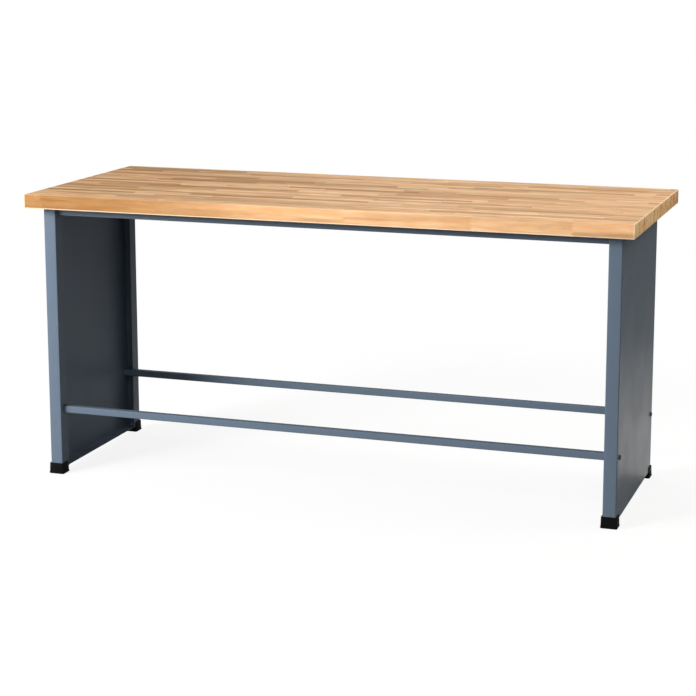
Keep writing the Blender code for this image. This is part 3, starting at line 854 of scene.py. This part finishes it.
def make_screw(node, diameter, head_height, tip, material):
    """A pan-head screw, point up, with a cross recess in its head."""
    low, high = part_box(node)
    length = high.z - low.z
    head = (high.x - low.x) / 2
    recess = head * CROSS_REACH
    shank = diameter / 2
    levels = [(cross(recess * reach), head_height * depth) for reach, depth in CROSS_LEVELS]
    for across, up in arc((0, 0), 1, 90, 0, DOME_STEPS):
        out = head * (PAN_CROWN + (1 - PAN_CROWN) * across)
        levels.append((out, head_height * PAN_DOME * (1 - up)))
    levels += [(head, head_height), (shank, head_height), (shank, length - tip), (SCREW_TIP, length)]
    bm = turned(levels)
    centre = (low + high) / 2
    bm.transform(Matrix.Translation((centre.x, centre.y, low.z)))
    piece(node, as_mesh(bm, node), material)


def make_fasteners(steel, black):
    for side in SIDES:
        for end in ENDS:
            make_bolt(side, f"stretcher_bolt_{end}_{side}", black)
            make_bolt(side, f"rail_bolt_{end}_{side}", black)
            make_screw(f"foot_screw_{end}_{side}", *FOOT_SCREW, steel)
    for row in SIDES + ENDS:
        for i in SCREW_NUMBERS:
            make_screw(f"top_screw_{row}_{i}", *TOP_SCREW, steel)


def make_shoe(side, end, material):
    """A moulded shoe: a rounded sole with a bead, drafted walls, and a seat open to the panel's middle."""
    node = f"foot_{end}_{side}"
    low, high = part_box(node)
    centre = (low + high) / 2
    size = high - low
    levels = []
    for across, up in arc((0, 0), SHOE_SOLE_ROUND, 270, 360, SHOE_STEPS):
        levels.append((SHOE_SOLE_ROUND - across, SHOE_SOLE_ROUND + up))
    for across, up in arc((0, 0), SHOE_STEP, 0, 90, SHOE_STEPS):
        levels.append((SHOE_STEP - across, SHOE_BEAD + up))
    drafted = SHOE_STEP + SHOE_DRAFT
    for across, up in arc((0, 0), SHOE_RIM_ROUND, 0, 90, SHOE_STEPS):
        levels.append((drafted + SHOE_RIM_ROUND - across, size.z - SHOE_RIM_ROUND + up))
    rings = []
    for inset, height in levels:
        outline = rounded_rectangle(size.x - 2 * inset, size.y - 2 * inset, SHOE_CORNER, SHOE_STEPS)
        rings.append([(centre.x + x, centre.y + y, low.z + height) for x, y in outline])
    body = bmesh.new()
    loft(body, rings)
    pocket = bmesh.new()
    back = 1 if end == "front" else -1
    left = centre.x - size.x / 2 + SHOE_WALL
    right = centre.x + size.x / 2 - SHOE_WALL
    near = centre.y - back * (size.y / 2 - SHOE_WALL)
    far = centre.y + back * (size.y / 2 + PAST)
    outline = [(left, near), (right, near), (right, far), (left, far)]
    prism(pocket, outline, low.z + SHOE_SEAT, high.z + PAST)
    place = middle(f"foot_screw_{end}_{side}")
    bore = bmesh.new()
    rod(bore, FOOT_SCREW_HOLE, (place.x, place.y, low.z), (place.x, place.y, high.z))
    well = bmesh.new()
    rod(well, SHOE_WELL, (place.x, place.y, low.z - PAST), (place.x, place.y, low.z + SHOE_WELL_DEPTH))
    piece(node, worked(body, [pocket, bore, well]), material)


def make_shoes(material):
    for end in ENDS:
        for side in SIDES:
            make_shoe(side, end, material)


def dress_nodes(finishes):
    """Gives each CAD node the material of its slot."""
    slots = {part["node"]: part["material_slot"] for part in frame["record"]["subparts"]}
    for name, node in frame["nodes"].items():
        node.data.materials.clear()
        node.data.materials.append(finishes[slots[name]])


def soft_box(name, place, target, size, power, colour=(1, 1, 1), in_gloss=True):
    """A rectangular soft light that faces its target, and may be kept out of reflections."""
    light = bpy.data.lights.new(name, "AREA")
    light.shape = "RECTANGLE"
    light.size, light.size_y = size
    light.energy = power
    light.color = colour
    lamp = bpy.data.objects.new(name, light)
    lamp.location = place
    lamp.rotation_euler = (Vector(target) - Vector(place)).to_track_quat("-Z", "Y").to_euler()
    lamp.visible_camera = False
    lamp.visible_glossy = in_gloss
    bpy.context.collection.objects.link(lamp)


def backdrop_share(tree):
    """The share of the white backdrop that a ray sees: all of it straight or through glass, less in gloss."""
    path = tree.nodes.new("ShaderNodeLightPath").outputs
    seen = {0: path["Is Camera Ray"], 1: path["Is Transmission Ray"]}
    clear = add_node(tree, "ShaderNodeMath", seen, operation="MAXIMUM")
    dimmed = {0: path["Is Glossy Ray"], 1: BACKDROP_IN_GLOSS}
    gloss = add_node(tree, "ShaderNodeMath", dimmed, operation="MULTIPLY")
    return add_node(tree, "ShaderNodeMath", {0: clear, 1: gloss}, operation="MAXIMUM")


def make_floor():
    """A pale round floor: to the camera it fades into the white background, and it returns little light."""
    bm = bmesh.new()
    bmesh.ops.create_circle(bm, cap_ends=True, radius=FLOOR_RADIUS, segments=FLOOR_STEPS)
    mesh = as_mesh(bm, "studio_floor")
    floor = link("studio_floor", mesh)
    material = bpy.data.materials.new("studio_floor")
    material.use_nodes = True
    tree = material.node_tree
    tree.nodes.clear()
    dull = add_node(tree, "ShaderNodeBsdfDiffuse", {"Color": FLOOR_DULL})
    pale = add_node(tree, "ShaderNodeBsdfDiffuse", {"Color": FLOOR_PALE})
    glow = add_node(tree, "ShaderNodeEmission", {"Color": WHITE})
    place = add_node(tree, "ShaderNodeTexCoord", output="Object")
    distance = add_node(tree, "ShaderNodeVectorMath", {0: place}, "Value", operation="LENGTH")
    span = {"Value": distance, **FLOOR_FADE}
    fade = add_node(tree, "ShaderNodeMapRange", span, interpolation_type="SMOOTHSTEP")
    seen = add_node(tree, "ShaderNodeMixShader", {0: fade, 1: pale, 2: glow})
    blend = add_node(tree, "ShaderNodeMixShader", {0: backdrop_share(tree), 1: dull, 2: seen})
    put(tree, tree.nodes.new("ShaderNodeOutputMaterial").inputs["Surface"], blend)
    mesh.materials.append(material)


def make_world():
    """White behind the object, and a dimmer grey all round as fill light."""
    world = bpy.data.worlds.new("studio")
    bpy.context.scene.world = world
    world.use_nodes = True
    tree = world.node_tree
    tree.nodes.clear()
    fill = add_node(tree, "ShaderNodeBackground", {"Color": FILL_COLOUR, "Strength": FILL_STRENGTH})
    white = add_node(tree, "ShaderNodeBackground", {"Color": WHITE, "Strength": 1.0})
    blend = add_node(tree, "ShaderNodeMixShader", {0: backdrop_share(tree), 1: fill, 2: white})
    put(tree, tree.nodes.new("ShaderNodeOutputWorld").inputs["Surface"], blend)


def make_lights():
    """The soft lights: each has its place, its target, its size in metres and its power in watts."""
    soft_box("over", (0.4, 0.2, 2.9), (0.3, 0.0, 0.8), (2.4, 1.8), 12)
    soft_box("over_rear", (0.0, 1.3, 2.7), (0.0, 0.1, 0.8), (2.4, 1.6), 24.5)
    soft_box("over_right", (1.5, -0.1, 2.6), (0.5, 0.0, 0.8), (1.8, 1.6), 8.7)
    soft_box("front_high", (1.0, -2.6, 2.7), (0.4, -0.2, 0.8), (1.8, 1.2), 17)
    soft_box("front_right", (2.2, -4.4, 2.2), (0.5, -0.3, 0.7), (1.5, 1.5), 14)
    soft_box("front_left", (-3.26, -4.42, 2.6), (-0.4, 0.0, 0.45), (1.6, 1.8), 406, in_gloss=False)
    soft_box("left", (-3.0, -2.0, 1.3), (-0.6, -0.2, 0.4), (1.2, 1.2), 67)
    soft_box("right", (2.4, 0.4, 2.2), (0.6, 0.0, 0.83), (1.2, 1.2), 21, WARM)
    # The two low ones at the right face up, with a hair of tilt that settles which way they turn
    soft_box("low_right_near", (0.98, 0.45, 0.02), (0.98, 0.4501, 3.0), (0.3, 0.7), 0.11, SLIGHTLY_WARM)
    soft_box("low_right", (1.08, 0.95, 0.02), (1.08, 0.9501, 3.0), (0.5, 1.6), 0.85, SLIGHTLY_WARM)
    soft_box("low_rear", (-3.2, 2.4, 0.6), (0.0, 0.2, 0.4), (1.0, 0.6), 40)


def make_camera():
    camera = bpy.data.cameras.new("camera")
    camera.sensor_width = CAMERA_SENSOR
    camera.lens = CAMERA_LENS
    camera.shift_x, camera.shift_y = CAMERA_SHIFT
    camera.clip_end = CAMERA_CLIP_END
    holder = bpy.data.objects.new("camera", camera)
    holder.location = CAMERA_PLACE
    turns = (90 - CAMERA_PITCH, CAMERA_ROLL, CAMERA_YAW)
    holder.rotation_euler = [math.radians(turn) for turn in turns]
    bpy.context.collection.objects.link(holder)
    bpy.context.scene.camera = holder


def main():
    bpy.context.scene.view_settings.view_transform = "Standard"
    finishes = {
        "beech": beech(),
        "frame_paint": powder_coat(),
        "foot_plastic": moulded_plastic(),
        "fastener_steel": plated_steel("zinc_plate", ZINC_TINTS, ZINC_ROUGHNESS, metallic=1.0),
        "bolt_black": plated_steel("blackened_steel", BLACKENED_TINTS, BLACKENED_ROUGHNESS, metallic=0.3),
    }
    dress_nodes(finishes)
    make_board(finishes["beech"])
    make_panels(finishes["frame_paint"])
    make_tubes(finishes["frame_paint"])
    make_fasteners(finishes["fastener_steel"], finishes["bolt_black"])
    make_shoes(finishes["foot_plastic"])
    make_floor()
    make_world()
    make_lights()
    make_camera()


main()
